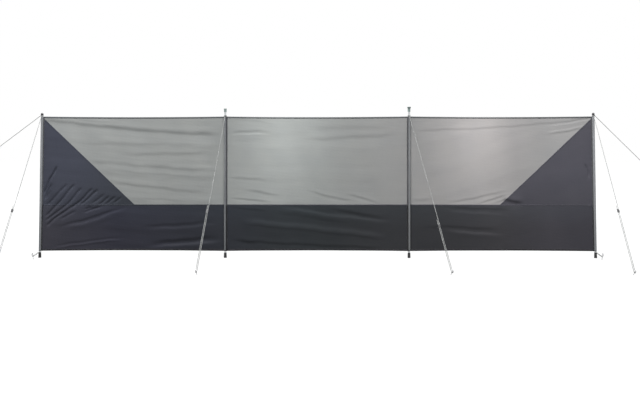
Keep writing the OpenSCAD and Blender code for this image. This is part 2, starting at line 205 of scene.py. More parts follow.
# Sharp creases: valleys with a steep face on either side, most of them fanning out from the left pole.
SHARP_CREASES = [
    # dark corner, left
    (95, 7, [(13.8, 84), (7, 70.7), (2.2, 60), (0.6, 56.4)]),
    (82, 7, [(9.7, 68.4), (2.2, 55.6), (0.8, 53.2)]),
    (70, 6.5, [(8.6, 61.6), (2.2, 54), (0.4, 51.9)]),
    (48, 8, [(24, 67.5), (4.8, 48.6), (2.6, 46.4)]),
    (68, 8, [(52.2, 63), (35, 48.4), (33.2, 46.9)]),
    (42, 8, [(57.8, 58.6), (45.6, 49.6), (43.8, 48.2)]),
    (54, 7, [(62, 56.5), (52.3, 48.6), (50.2, 47)]),
    (54, 7, [(68, 56.5), (58.7, 48.8), (56.6, 47)]),
    (48, 7, [(73.2, 56.1), (65.6, 49.6), (63.6, 47.9)]),
    # dark corner, left, and on into the band
    (62, 8, [(30.6, 67.2), (13, 47.6), (2.4, 36.7)]),
    (60, 8, [(36.8, 64.4), (22.7, 48), (2.4, 33)]),
    (66, 8, [(47.2, 63.9), (30.3, 47.8), (15.6, 38.3), (2.4, 28)]),
    # dark band, left bay
    (38, 8, [(32, 42.8), (16, 33.8)]),
    (40, 7, [(47, 46.6), (37.2, 43.6)]),
    (50, 8, [(56.4, 47.2), (46.4, 44.4), (36.6, 40.8)]),
    # dark corner, right
    (80, 6, [(492.5, 86), (497.5, 71)]),
]
# The wide faces of a slack fold die away over this many half widths.
FOLD_SPREAD = 3.0

# Both fade out at the ends of their lines, over a length in metres or a share of a short line.
FOLD_FADE = 0.2
CREASE_FADE = 0.052
FADE_SHARE = 0.36

# Farther than any place on the cloth is from another
FAR = 9.0


def beside_line(x, z, points, longest_fade):
    """Gap to a bent line, positive above it, and a weight that fades to 0 at the line's two ends."""
    line = [(POLE_TOPS[0] + along / 100.0, up / 100.0) for along, up in points]
    lengths = [math.dist(a, b) for a, b in zip(line, line[1:])]
    total = sum(lengths)
    nearest = np.full(x.shape, FAR)
    gap = np.zeros(x.shape)
    travelled = np.zeros(x.shape)
    before = 0.0
    for a, b, length in zip(line, line[1:], lengths):
        run_x, run_z = (b[0] - a[0]) / length, (b[1] - a[1]) / length
        along = np.clip((x - a[0]) * run_x + (z - a[1]) * run_z, 0.0, length)
        distance = np.hypot(x - a[0] - along * run_x, z - a[1] - along * run_z)
        above = math.copysign(1.0, run_x) * (run_x * (z - a[1]) - run_z * (x - a[0]))
        closer = distance < nearest
        nearest = np.where(closer, distance, nearest)
        gap = np.where(closer, np.copysign(distance, above), gap)
        travelled = np.where(closer, before + along, travelled)
        before += length
    fade = min(longest_fade, FADE_SHARE * total)
    ends = smooth_step(0.0, fade, travelled) * smooth_step(0.0, fade, total - travelled)
    return gap, ends


def slack_fold(x, z, steep, width, points):
    gap, ends = beside_line(x, z, points, FOLD_FADE)
    half = width / 1000.0
    return ends * steep / 100.0 * half * (np.tanh(gap / (FOLD_SPREAD * half)) - np.tanh(gap / half))


def sharp_crease(x, z, steep, width, points):
    gap, ends = beside_line(x, z, points, CREASE_FADE)
    half = width / 1000.0
    return ends * steep / 100.0 * half * math.sqrt(math.e) * np.exp(-0.5 * (gap / half) ** 2)


def ripple(value, *waves):
    """A sum of waves, each given by its height, its length and its turn."""
    return sum(height * np.sin(value * 2.0 * math.pi / length + turn) for height, length, turn in waves)


# Small gathers along the edges, the seam and the poles, as a height and a reach in metres
TOP_GATHER = (0.0004, 0.025)
BOTTOM_GATHER = (0.0007, 0.03)
SEAM_GATHER = (0.0005, 0.018)
POLE_GATHER = (0.0006, 0.045)

# How far a bay billows, how deep the cloth is crumpled, and how the long level waves slope at each pole
BILLOW = 0.016
CRUMPLE = 0.00012
LEVEL_SLOPES = [0.10, 0.06, 0.03, -0.09]

# The cloth is held flat up to the first distance from a pole, and is free from the second one on.
HELD_FLAT = (0.0176, 0.027)


def dying_away(gathers, distance):
    height, reach = gathers
    return height * np.exp(-distance / reach)


def cloth_y(x, z):
    """Depth of the cloth's front face at a place on it. It is flat where a pole holds it."""
    x = np.asarray(x, dtype=float)
    z = np.asarray(z, dtype=float)
    from_pole = np.full(x.shape, FAR)
    for pole in range(4):
        from_pole = np.minimum(from_pole, np.abs(x - pole_at(pole, z)))
    wander_x = x + ripple(z, (0.004, 0.31, 0.4), (0.002, 0.12, 2.0))
    wander_z = z + ripple(x, (0.0030, 0.43, 1.0), (0.0016, 0.17, 0.3))
    depth = np.zeros(x.shape)
    for fold in SLACK_FOLDS:
        depth += slack_fold(wander_x, wander_z, *fold)
    for crease in SHARP_CREASES:
        depth += sharp_crease(wander_x, wander_z, *crease)
    high = cloth_top(x) - z
    low = z - cloth_bottom(x)
    gather = ripple(x, (0.45, 0.031, 0.0), (0.35, 0.047, 1.3), (0.3, 0.023, 2.1))
    depth += gather * dying_away(TOP_GATHER, high)
    depth += gather * dying_away(BOTTOM_GATHER, low)
    depth += gather * dying_away(SEAM_GATHER, np.abs(z - SEAM))
    pull = ripple(z, (0.5, 0.055, 0.5), (0.4, 0.083, 1.9), (0.3, 0.037, 0.2))
    depth += pull * dying_away(POLE_GATHER, from_pole)
    billow = bay_dip(x)
    depth -= BILLOW * billow * np.sin(math.pi * np.clip(low / (CLOTH_HIGH - CLOTH_LOW), 0.0, 1.0))
    free = np.minimum(1.0, 3.0 * billow)
    depth += ripple(x + 0.35 * z, (0.0020, 0.62, 0.9), (0.0008, 0.27, 2.2)) * free
    slope = np.interp(x, POLE_TOPS, LEVEL_SLOPES)
    level_line = z + slope * x + ripple(x, (0.008, 0.9, 0.3), (0.004, 0.37, 1.7))
    strength = 0.6 + ripple(x, (0.3, 0.71, 1.1), (0.2, 0.29, 0.2))
    strength *= np.interp(x, [POLE_TOPS[1] - 0.2, POLE_TOPS[1] + 0.2, POLE_TOPS[3]], [1.0, 0.4, 0.3])
    level_waves = ripple(level_line, (0.0011, 0.23, 0.2), (0.0006, 0.131, 1.1), (0.0003, 0.071, 0.6))
    depth += level_waves * free * strength
    crossing = ripple(0.8 * x + z, (1.0, 0.043, 0.0), (0.8, 0.067, 1.0))
    depth += CRUMPLE * crossing * ripple(z - 0.5 * x, (1.0, 0.052, 0.7)) * free
    return CLOTH_FRONT + depth * smooth_step(*HELD_FLAT, from_pole)


# Making meshes

MERGE_GAP = 0.000002
TINY_EDGE = 0.000001


def deselect_all():
    bpy.ops.object.select_all(action="DESELECT")


def make_active(piece):
    deselect_all()
    piece.select_set(True)
    bpy.context.view_layer.objects.active = piece


def piece_from(name, points, faces, material, smooth=True):
    """A new piece from its points and faces, merged where points fall together."""
    mesh = bpy.data.meshes.new(name)
    mesh.from_pydata(np.asarray(points).tolist(), [], [tuple(face) for face in faces])
    shape = bmesh.new()
    shape.from_mesh(mesh)
    bmesh.ops.remove_doubles(shape, verts=shape.verts, dist=MERGE_GAP)
    bmesh.ops.dissolve_degenerate(shape, edges=shape.edges, dist=TINY_EDGE)
    shape.to_mesh(mesh)
    shape.free()
    mesh.polygons.foreach_set("use_smooth", [smooth] * len(mesh.polygons))
    mesh.materials.append(material)
    piece = bpy.data.objects.new(name, mesh)
    SCENE.collection.objects.link(piece)
    return piece


def grid_faces(columns, rows, first=0, closed=False):
    """Faces between rings of points: each column is a ring of as many points as there are rows."""
    faces = []
    for column in range(columns - 1):
        near = first + column * rows
        for row in range(rows if closed else rows - 1):
            after = (row + 1) % rows
            faces.append((near + row, near + rows + row, near + rows + after, near + after))
    return faces


def turn_outward(piece):
    make_active(piece)
    bpy.ops.object.mode_set(mode="EDIT")
    bpy.ops.mesh.select_all(action="SELECT")
    bpy.ops.mesh.normals_make_consistent(inside=False)
    bpy.ops.object.mode_set(mode="OBJECT")


def thicken(piece, thick, offset):
    make_active(piece)
    wall = piece.modifiers.new("wall", "SOLIDIFY")
    wall.thickness = thick
    wall.offset = offset
    bpy.ops.object.modifier_apply(modifier="wall")


def settle(piece, slot, *nodes):
    """A piece rides on the one body and may stand for nodes. The slot it is given is not used."""
    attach(piece, "root")
    if nodes:
        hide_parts(*nodes)


# Materials

def new_material(name):
    material = bpy.data.materials.new(name)
    material.use_nodes = True
    tree = material.node_tree
    return material, tree, tree.nodes["Principled BSDF"]


def add_node(tree, kind, **values):
    node = tree.nodes.new(kind)
    for key, value in values.items():
        if key in node.inputs:
            node.inputs[key].default_value = value
        else:
            setattr(node, key, value)
    return node


def noise_at(tree, scale, detail=3.0, rough=0.55):
    place = add_node(tree, "ShaderNodeTexCoord")
    noise = add_node(tree, "ShaderNodeTexNoise", Scale=scale, Detail=detail, Roughness=rough)
    tree.links.new(place.outputs["Object"], noise.inputs["Vector"])
    return noise


def ramp_of(tree, source, stops):
    """A colour ramp with any number of stops: places along it and their colours."""
    tones = add_node(tree, "ShaderNodeValToRGB")
    elements = tones.color_ramp.elements
    while len(elements) < len(stops):
        elements.new(0.5)
    for element, (position, colour) in zip(elements, stops):
        element.position = position
        element.color = (*colour, 1.0)
    tree.links.new(source, tones.inputs["Fac"])
    return tones


def two_tones(tree, source, dark, light):
    return ramp_of(tree, source, [(0.3, dark), (0.7, light)])


def mottled(tree, shader, dark, light, scale, detail=3.0):
    """The base colour drifts between two tones."""
    tones = two_tones(tree, noise_at(tree, scale, detail).outputs["Fac"], dark, light)
    tree.links.new(tones.outputs["Color"], shader.inputs["Base Color"])


def rough_drift(tree, shader, low, high, scale):
    spread = add_node(tree, "ShaderNodeMapRange")
    spread.inputs["To Min"].default_value = low
    spread.inputs["To Max"].default_value = high
    tree.links.new(noise_at(tree, scale, 4.0).outputs["Fac"], spread.inputs["Value"])
    tree.links.new(spread.outputs["Result"], shader.inputs["Roughness"])


def bump_over(tree, shader, height, strength, distance, under=None):
    bump = add_node(tree, "ShaderNodeBump", Strength=strength, Distance=distance)
    tree.links.new(height, bump.inputs["Height"])
    if under:
        tree.links.new(under.outputs["Normal"], bump.inputs["Normal"])
    tree.links.new(bump.outputs["Normal"], shader.inputs["Normal"])
    return bump


def share_of(tree, source, low, high):
    share = add_node(tree, "ShaderNodeMapRange")
    share.inputs["From Min"].default_value = low
    share.inputs["From Max"].default_value = high
    tree.links.new(source, share.inputs["Value"])
    return share.outputs["Result"]


def multiplied(tree, first, second):
    both = add_node(tree, "ShaderNodeMix", data_type="RGBA", blend_type="MULTIPLY")
    both.inputs["Factor"].default_value = 1.0
    tree.links.new(first, both.inputs["A"])
    tree.links.new(second, both.inputs["B"])
    return both.outputs["Result"]


def tone_along_and_up(tree, shader, tone_along, tone_up):
    """The base colour drifts along the cloth and up it, and is a little uneven all over. Most of the drift
    is painted light and shade, as set per cut below; the unevenness is the cloth's own.
    """
    place = add_node(tree, "ShaderNodeTexCoord")
    split = add_node(tree, "ShaderNodeSeparateXYZ")
    tree.links.new(place.outputs["Object"], split.inputs["Vector"])
    along = ramp_of(tree, share_of(tree, split.outputs["X"], POLE_TOPS[0], POLE_TOPS[3]), tone_along)
    height = ramp_of(tree, share_of(tree, split.outputs["Z"], CLOTH_LOW, CLOTH_HIGH), tone_up)
    uneven = two_tones(tree, noise_at(tree, 4.0, 5.0).outputs["Fac"], (0.93, 0.94, 0.955), (1.0, 1.0, 1.0))
    toned = multiplied(tree, along.outputs["Color"], height.outputs["Color"])
    tree.links.new(multiplied(tree, toned, uneven.outputs["Color"]), shader.inputs["Base Color"])


EVEN = [(0.0, (1.0, 1.0, 1.0)), (1.0, (1.0, 1.0, 1.0))]


def woven_cloth(name, tone_along, rough, gloss, weave=0.0011, tone_up=EVEN):
    """Plain weave: crossing threads at a pitch in metres, slubs, and slow drift of tone, most of it painted
    light and shade.
    """
    material, tree, shader = new_material(name)
    tone_along_and_up(tree, shader, tone_along, tone_up)
    rough_drift(tree, shader, rough - 0.05, rough + 0.05, 9.0)
    shader.inputs["Specular IOR Level"].default_value = gloss
    shader.inputs["Sheen Weight"].default_value = 0.02
    shader.inputs["Sheen Roughness"].default_value = 0.4
    place = add_node(tree, "ShaderNodeTexCoord")
    crossed = add_node(tree, "ShaderNodeMath", operation="ADD")
    for socket, direction in enumerate("XZ"):
        threads = add_node(tree, "ShaderNodeTexWave", wave_type="BANDS", bands_direction=direction,
                           Scale=0.314 / weave, Distortion=0.6, Detail=1.0)
        tree.links.new(place.outputs["Object"], threads.inputs["Vector"])
        tree.links.new(threads.outputs["Fac"], crossed.inputs[socket])
    threads_bump = bump_over(tree, shader, crossed.outputs["Value"], 0.12, 0.0002)
    bump_over(tree, shader, noise_at(tree, 160.0, 4.0).outputs["Fac"], 0.12, 0.0004, threads_bump)
    return material


def moulded(name, dark, light, rough, grain):
    """Moulded plastic or rubber with a fine grain."""
    material, tree, shader = new_material(name)
    mottled(tree, shader, dark, light, 60.0)
    rough_drift(tree, shader, rough - 0.06, rough + 0.08, 90.0)
    shader.inputs["Specular IOR Level"].default_value = 0.4
    bump_over(tree, shader, noise_at(tree, grain, 4.0).outputs["Fac"], 0.2, 0.0003)
    return material


def zinc_plate(name, dark, light, rough):
    """Zinc-plated steel: pale crystals, upright drawn streaks and dull patches."""
    material, tree, shader = new_material(name)
    mottled(tree, shader, dark, light, 35.0, 6.0)
    shader.inputs["Metallic"].default_value = 0.85
    rough_drift(tree, shader, rough - 0.08, rough + 0.12, 50.0)
    place = add_node(tree, "ShaderNodeTexCoord")
    streak = add_node(tree, "ShaderNodeMapping")
    streak.inputs["Scale"].default_value = (900.0, 900.0, 12.0)
    noise = add_node(tree, "ShaderNodeTexNoise", Scale=1.0, Detail=3.0)
    tree.links.new(place.outputs["Object"], streak.inputs["Vector"])
    tree.links.new(streak.outputs["Vector"], noise.inputs["Vector"])
    bump_over(tree, shader, noise.outputs["Fac"], 0.15, 0.0002)
    return material


def twisted_cord(name, dark, light):
    """Cord or thread: fibres with a fuzzy surface."""
    material, tree, shader = new_material(name)
    mottled(tree, shader, dark, light, 220.0, 4.0)
    rough_drift(tree, shader, 0.6, 0.75, 300.0)
    shader.inputs["Specular IOR Level"].default_value = 0.3
    bump_over(tree, shader, noise_at(tree, 1500.0, 3.0).outputs["Fac"], 0.3, 0.0003)
    return material


# Tones run along the cloth from the left pole, 0, to the right one, 1. Tones up it run from 0 to 1.
# Light cloth: one pale grey, made lighter and darker along the bays as painted light, for how the lamps
# fall across it.
LIGHT_DYE_AND_PAINTED_LIGHT = [(0.05, (0.342, 0.348, 0.338)), (0.14, (0.312, 0.318, 0.308)), (0.25, (0.305, 0.311, 0.301)),
             (0.345, (0.315, 0.323, 0.312)), (0.4, (0.300, 0.308, 0.297)), (0.5, (0.303, 0.311, 0.300)),
             (0.7, (0.324, 0.316, 0.310)), (0.86, (0.324, 0.314, 0.309)), (0.94, (0.392, 0.382, 0.376))]
# Dark band: one dark grey, with painted light along it, lighter and bluer towards the ends and darkest in
# the middle bay.
BAND_DYE_AND_PAINTED_LIGHT = [(0.0, (0.057, 0.058, 0.073)), (0.14, (0.038, 0.040, 0.056)), (0.42, (0.030, 0.035, 0.040)),
            (0.5, (0.033, 0.0385, 0.0425)), (0.62, (0.040, 0.0430, 0.0475)), (0.72, (0.040, 0.0425, 0.047)),
            (0.84, (0.055, 0.056, 0.062)), (0.92, (0.070, 0.070, 0.082)), (1.0, (0.062, 0.062, 0.074))]
# Painted sky sheen: the band lighter and bluer towards the seam, darker and warmer towards its foot.
BAND_PAINTED_SHEEN_UP = [(0.16, (0.85, 0.81, 0.80)), (0.34, (1.0, 1.0, 1.0))]
# Dark corners: the band's dark cloth made lighter and bluer as a painted sky sheen, the right corner
# lighter than the left.
CORNER_DYE_AND_PAINTED_SHEEN = [(0.06, (0.060, 0.064, 0.085)), (0.15, (0.050, 0.055, 0.068)), (0.84, (0.086, 0.083, 0.099)),
              (0.96, (0.095, 0.092, 0.110))]
# Painted sky sheen: the corners lighter towards the top and darker towards their foot.
CORNER_PAINTED_SHEEN_UP = [(0.36, (0.84, 0.84, 0.83)), (0.6, (1.0, 1.0, 1.0))]
# Sleeves: one grey cloth, each sleeve's tone set as painted light, the right end lightest as the light
# comes from the right.
SLEEVE_DYE_AND_PAINTED_LIGHT = [(0.0, (0.295, 0.303, 0.312)), (0.33, (0.258, 0.265, 0.272)), (0.67, (0.285, 0.290, 0.295)),
              (1.0, (0.335, 0.340, 0.350))]
# The sleeves grow darker towards the foot.
SLEEVE_DARKER_TO_FOOT = [(0.0, (0.70, 0.70, 0.70)), (0.35, (0.86, 0.86, 0.86)), (0.8, (1.0, 1.0, 1.0))]
# Painted shade: a darkened copy of the sleeve cloth for each sleeve's shaded side, darker still where it
# lies over the dark band.
SHADE_STRIP_PAINTED_TONE = [(0.3, (0.098, 0.099, 0.106)), (0.7, (0.108, 0.109, 0.114))]
SHADE_STRIP_OVER_BAND = [(0.335, (0.33, 0.33, 0.33)), (0.345, (1.0, 1.0, 1.0))]
TAPE_DYE = [(0.0, (0.125, 0.132, 0.137)), (1.0, (0.135, 0.139, 0.142))]
HEM_DYE = [(0.0, (0.022, 0.022, 0.025)), (1.0, (0.025, 0.025, 0.027))]
LIGHT_CLOTH = woven_cloth("light_cloth", LIGHT_DYE_AND_PAINTED_LIGHT, 0.45, 0.2)
BAND_CLOTH = woven_cloth("dark_cloth", BAND_DYE_AND_PAINTED_LIGHT, 0.42, 0.12, tone_up=BAND_PAINTED_SHEEN_UP)
# The corners and the seams take a copy of the dark cloth with the painted sky sheen.
CORNER_CLOTH_PAINTED_SHEEN = woven_cloth("corner_cloth_painted_sheen", CORNER_DYE_AND_PAINTED_SHEEN, 0.42, 0.12, tone_up=CORNER_PAINTED_SHEEN_UP)
SLEEVE_CLOTH = woven_cloth("sleeve_cloth", SLEEVE_DYE_AND_PAINTED_LIGHT, 0.6, 0.15, 0.0014, SLEEVE_DARKER_TO_FOOT)
# Cloth of painted shade for the sleeves' shaded sides.
PAINTED_SHADE_CLOTH = woven_cloth("painted_shade_cloth", SHADE_STRIP_PAINTED_TONE, 0.55, 0.12, 0.0014, SHADE_STRIP_OVER_BAND)
TAPE_CLOTH = woven_cloth("tape_cloth", TAPE_DYE, 0.6, 0.15, 0.0016)
HEM_CLOTH = woven_cloth("hem_cloth", HEM_DYE, 0.55, 0.12, 0.0014)
POLE_STEEL = zinc_plate("pole_steel", (0.50, 0.51, 0.52), (0.66, 0.67, 0.68), 0.38)
PEG_STEEL = zinc_plate("peg_steel", (0.36, 0.36, 0.37), (0.5, 0.5, 0.51), 0.42)
BLACK_RUBBER = moulded("black_rubber", (0.018, 0.018, 0.019), (0.028, 0.028, 0.029), 0.62, 700.0)
BLACK_PLASTIC = moulded("black_plastic", (0.026, 0.026, 0.028), (0.04, 0.04, 0.043), 0.45, 900.0)
GREY_GREEN_PLASTIC = moulded("grey_green_plastic", (0.21, 0.27, 0.255), (0.26, 0.32, 0.305), 0.5, 800.0)
GUY_CORD = twisted_cord("guy_cord", (0.20, 0.205, 0.20), (0.31, 0.315, 0.31))
LIGHT_THREAD = twisted_cord("light_thread", (0.22, 0.23, 0.23), (0.30, 0.31, 0.31))
DARK_THREAD = twisted_cord("dark_thread", (0.045, 0.046, 0.052), (0.07, 0.072, 0.08))


# Cloth bays. Mesh sizes are in metres along and up. Where the creases are sharp the mesh is finer, and
# it crowds towards the left or the foot of its panel.
LIGHT_MESH = (0.014, 0.006)
BAND_MESH = (0.012, 0.005)
LEFT_BAND_MESH = (0.0075, 0.005)
LEFT_BAND_CROWD = 1.3
LEFT_CORNER_MESH = (0.006, 0.0062)
LEFT_CORNER_CROWD = 1.35
RIGHT_CORNER_MESH = (0.010, 0.0065)

# Flat sizes of the cuts, in metres and square metres
UPPER_HEIGHT = 0.804
BAND_HEIGHT = 0.417
LIGHT_END_EXTRA = 0.013
BAND_END_EXTRA = 0.033
LIGHT_MIDDLE_AREA = 1.329
LIGHT_END_AREA = 0.997
CORNER_WIDTH = 0.866
CORNER_AREA = 0.343


def cloth_panel(name, node, left, right, span, material, slot, mesh, crowd_left=1.0, crowd_low=1.0):
    """One cut of cloth between two side edges and two level edges, laid on the creased surface."""
    bottom, top, low, high = span
    wide = float(max(right(low) - left(low), right(high) - left(high)))
    columns = round(wide / mesh[0])
    rows = round((high - low) / mesh[1])
    across, up = np.meshgrid(np.linspace(0, 1, columns) ** crowd_left, np.linspace(0, 1, rows) ** crowd_low,
                             indexing="ij")
    height = low + up * (high - low)
    x = left(height) + across * (right(height) - left(height))
    z = bottom(x) + up * (top(x) - bottom(x))
    points = np.stack([x.ravel(), cloth_y(x, z).ravel(), z.ravel()], axis=1)
    panel = piece_from(name, points, grid_faces(columns, rows), material)
    thicken(panel, CLOTH_THICK, -1.0)
    settle(panel, slot, node)
    return panel


def level(height):
    return lambda x: np.full(np.shape(x), height)


def upright(place):
    return lambda z: np.full(np.shape(z), place)


UPPER = (level(SEAM), cloth_top, SEAM, CLOTH_HIGH)
LOWER = (cloth_bottom, level(SEAM), CLOTH_LOW, SEAM)
SIDES = ("left", "middle", "right")
PANELS = []
for index, side in enumerate(SIDES):
    first, last, at_end = index == 0, index == 2, index != 1
    start, end = upright(POLE_TOPS[index]), upright(POLE_TOPS[index + 1])
    light = cloth_panel("light_cloth_" + side, "panel_light_" + side, left_slant if first else start,
                        right_slant if last else end, UPPER, LIGHT_CLOTH, "light_cloth", LIGHT_MESH)
    dark = cloth_panel("dark_band_" + side, "band_" + side, cloth_left if first else start,
                       cloth_right if last else end, LOWER, BAND_CLOTH, "dark_cloth",
                       LEFT_BAND_MESH if first else BAND_MESH, LEFT_BAND_CROWD if first else 1.0)
    light_area = LIGHT_END_AREA if at_end else LIGHT_MIDDLE_AREA
    PANELS += [(light, (BAY + LIGHT_END_EXTRA * at_end, UPPER_HEIGHT), light_area),
               (dark, (BAY + BAND_END_EXTRA * at_end, BAND_HEIGHT), None)]
CORNERS = [cloth_panel("dark_corner_left", "triangle_left", cloth_left, left_slant, UPPER, CORNER_CLOTH_PAINTED_SHEEN,
                       "dark_cloth", LEFT_CORNER_MESH, crowd_low=LEFT_CORNER_CROWD),
           cloth_panel("dark_corner_right", "triangle_right", right_slant, cloth_right, UPPER, CORNER_CLOTH_PAINTED_SHEEN,
                       "dark_cloth", RIGHT_CORNER_MESH)]
PANELS += [(corner, (CORNER_WIDTH, UPPER_HEIGHT), CORNER_AREA) for corner in CORNERS]


# Sleeves. Each has a light tube over the pole, and a dark strip of painted shade on its sewn side, standing
# for the tube's shaded side.

FLANGE_OFF = 0.0006
FLANGE = CLOTH_FRONT - FLANGE_OFF
FLAT_LIP = 0.0006
LIP_LIFT = 0.0004
SLEEVE_WRAP = 0.0106
SLEEVE_THICK = 0.0009
SLEEVE_OVER = 0.0004
SLEEVE_ROWS = 160
TAUT_STEPS = 8
ARC_STEPS = 20
# The strip of painted shade lies this far off the sleeve and is this thick.
SHADE_STRIP_LIFT = 0.0007
SHADE_STRIP_THICK = 0.0006


def taut_side(foot_x, foot_y):
    """Points from a sewn edge in a straight line to where the cloth meets the arc over the pole."""
    far = math.hypot(foot_x, foot_y)
    slant = math.atan2(foot_y, foot_x) + math.asin(SLEEVE_WRAP / far)
    length = math.sqrt(far ** 2 - SLEEVE_WRAP ** 2)
    travelled = length * np.linspace(0.0, 1.0, TAUT_STEPS)
    return np.stack([foot_x - travelled * math.cos(slant), foot_y - travelled * math.sin(slant)], axis=1)


def sleeve_profile():
    """Points across a sleeve: a taut side, an arc over the pole, and a taut side to a flat sewn edge."""
    reach = SLEEVE_RADIUS + SLEEVE_EDGE
    flat_edge = [(reach, FLANGE), (reach - FLAT_LIP, FLANGE)]
    sewn = np.concatenate([flat_edge, taut_side(reach - 2.0 * FLAT_LIP, FLANGE - LIP_LIFT)])
    outer = taut_side(SLEEVE_RADIUS, FLANGE + LIP_LIFT) * (-1.0, 1.0)
    start, end = [math.atan2(x, -y) for x, y in (outer[-1], sewn[-1])]
    turns = np.linspace(start, end, ARC_STEPS)[1:-1]
    arc = SLEEVE_WRAP * np.stack([np.sin(turns), -np.cos(turns)], axis=1)
    return np.concatenate([outer, arc, sewn[::-1]])


def shade_strip_profile(profile, start):
    """The part of a sleeve's profile that its strip of painted shade covers, a little outside it."""
    run = np.gradient(profile, axis=0)
    outward = np.stack([run[:, 1], -run[:, 0]], axis=1) / np.hypot(*run.T)[:, None]
    covered = np.arange(len(profile)) > int(np.argmin(profile[:, 1]))
    covered &= profile[:, 0] >= start
    return (profile + SHADE_STRIP_LIFT * outward)[covered]


def sleeve_part(name, profile, pole, facing, material, thick):
    """One strip over a sleeve, a little slack, with small slanting gathers: the sleeve cloth, and its strip
    of painted shade.
    """
    heights = np.linspace(CLOTH_LOW - SLEEVE_OVER, CLOTH_HIGH + SLEEVE_OVER, SLEEVE_ROWS)
    points = []
    for px, py in profile:
        share = max(0.0, -py / SLEEVE_RADIUS)
        gathers = ripple(heights + 0.6 * px, (0.035, 0.11, pole), (0.025, 0.053, 1.7 * pole),
                         (0.015, 0.031, 0.4))
        sway = ripple(heights, (0.02, 0.19, 2.0 * pole), (0.016, 0.087, 0.7))
        x = pole_at(pole, heights) + facing * px * (1.0 + share * sway)
        y = py * (1.0 + share * (0.05 + gathers))
        points.append(np.stack([x, y, heights], axis=1))
    piece = piece_from(name, np.concatenate(points), grid_faces(len(profile), SLEEVE_ROWS), material)
    thicken(piece, thick, 0.0)
    turn_outward(piece)
    width = float(np.hypot(*np.diff(profile, axis=0).T).sum())
    return piece, round(width, 4)


# The side of each sleeve's flat sewn edge, 1 for the right, and how far out its strip of painted shade
# starts
SLEEVE_CUTS = [(1, 0.0105), (1, 0.0025), (-1, 0.0045), (-1, 0.0105)]
SLEEVES = []
for pole, (facing, shade_from) in enumerate(SLEEVE_CUTS):
    name = POLE_NAMES[pole]
    profile = sleeve_profile()
    tube, tube_width = sleeve_part("sleeve_" + name + "_cloth", profile, pole, facing, SLEEVE_CLOTH,
                                   SLEEVE_THICK)
    # Each sleeve gets a strip of painted shade over its sewn side.
    shaded_side = shade_strip_profile(profile, shade_from)
    shade_strip, shade_strip_width = sleeve_part("painted_shade_" + name, shaded_side, pole, facing, PAINTED_SHADE_CLOTH,
                                         SHADE_STRIP_THICK)
    settle(tube, "sleeve_cloth", "sleeve_" + name)
    settle(shade_strip, "dark_cloth")
    SLEEVES += [tube, shade_strip]


# Tapes on the two long edges

TAPE_THICK = 0.0005
TAPE_OFF = 0.0003
TAPE_SWELL = 0.0001
TAPE_COLUMNS = 620


def edge_tape(name, node, edge, inward, corner, material):
    """A tape folded over an edge of the cloth, from its front hem line round to its back hem line."""
    x = np.linspace(cloth_left(corner), cloth_right(corner), TAPE_COLUMNS)
    front, back = -TAPE_OFF, CLOTH_THICK + TAPE_OFF
    section = [(front, 1.0), (front - TAPE_SWELL, 0.75), (front - TAPE_SWELL, 0.4), (front, 0.08),
               (TAPE_SWELL, -0.03), (CLOTH_THICK - TAPE_SWELL, -0.03),
               (back, 0.08), (back + TAPE_SWELL, 0.4), (back + TAPE_SWELL, 0.75), (back, 1.0)]
    points = []
    for out, share in section:
        z = edge(x) + inward * TAPE_HEIGHT * share
        points.append(np.stack([x, cloth_y(x, np.clip(z, cloth_bottom(x), cloth_top(x))) + out, z], axis=1))
    piece = piece_from(name, np.concatenate(points), grid_faces(len(section), TAPE_COLUMNS), material)
    thicken(piece, TAPE_THICK, 0.0)
    turn_outward(piece)
    settle(piece, "tape_cloth", node)


edge_tape("top_tape", "top_hem", cloth_top, -1.0, CLOTH_HIGH, TAPE_CLOTH)
edge_tape("bottom_tape", "bottom_hem", cloth_bottom, 1.0, CLOTH_LOW, HEM_CLOTH)


# Felled seams and stitching, on both faces of the cloth

SEAM_WIDTH = 0.011
SEAM_RISE = 0.0007
SEAM_SINK = 0.0003
SEAM_STEP = 0.009
SEAM_CLEAR = 0.03
SEAM_STITCH_OFF = 0.0037
STITCH_PITCH = 0.0068
STITCH_LENGTH = 0.0046
STITCH_WIDTH = 0.0011
STITCH_RISE = 0.0005


def off_cloth(x, z, out, face):
    """Points a little way off the front face, or off the back face where face is -1."""
    surface = cloth_y(x, z)
    depth = surface - out if face > 0 else surface + CLOTH_THICK + out
    return np.stack([x, depth, z], axis=-1)


def seam_line(start, end):
    """Evenly spaced points along a straight seam, and the direction across it."""
    length = math.dist(start, end)
    share = np.linspace(0.0, 1.0, round(length / SEAM_STEP) + 1)
    x = start[0] + share * (end[0] - start[0])
    z = start[1] + share * (end[1] - start[1])
    return x, z, (-(end[1] - start[1]) / length, (end[0] - start[0]) / length)


def felled_seam(name, start, end, material):
    """A flat fold of cloth along a seam, raised on both faces."""
    x, z, across = seam_line(start, end)
    section = [(-0.5, -SEAM_SINK), (-0.5, 0.0001), (-0.46, SEAM_RISE - 0.0001), (-0.42, SEAM_RISE),
               (0.42, SEAM_RISE), (0.46, SEAM_RISE - 0.0001), (0.5, 0.0001), (0.5, -SEAM_SINK)]
    points = []
    faces = []
    for face in (1, -1):
        rings = [off_cloth(x + side * SEAM_WIDTH * across[0], z + side * SEAM_WIDTH * across[1], out, face)
                 for side, out in section]
        first = sum(len(part) for part in points)
        points.append(np.stack(rings, axis=1).reshape(-1, 3))
        faces += grid_faces(len(x), len(section), first, closed=True)
        last = first + (len(x) - 1) * len(section)
        faces += [tuple(end_ring + k for k in range(len(section))) for end_ring in (first, last)]
    piece = piece_from(name, np.concatenate(points), faces, material)
    turn_outward(piece)
    settle(piece, "dark_cloth")
    return piece


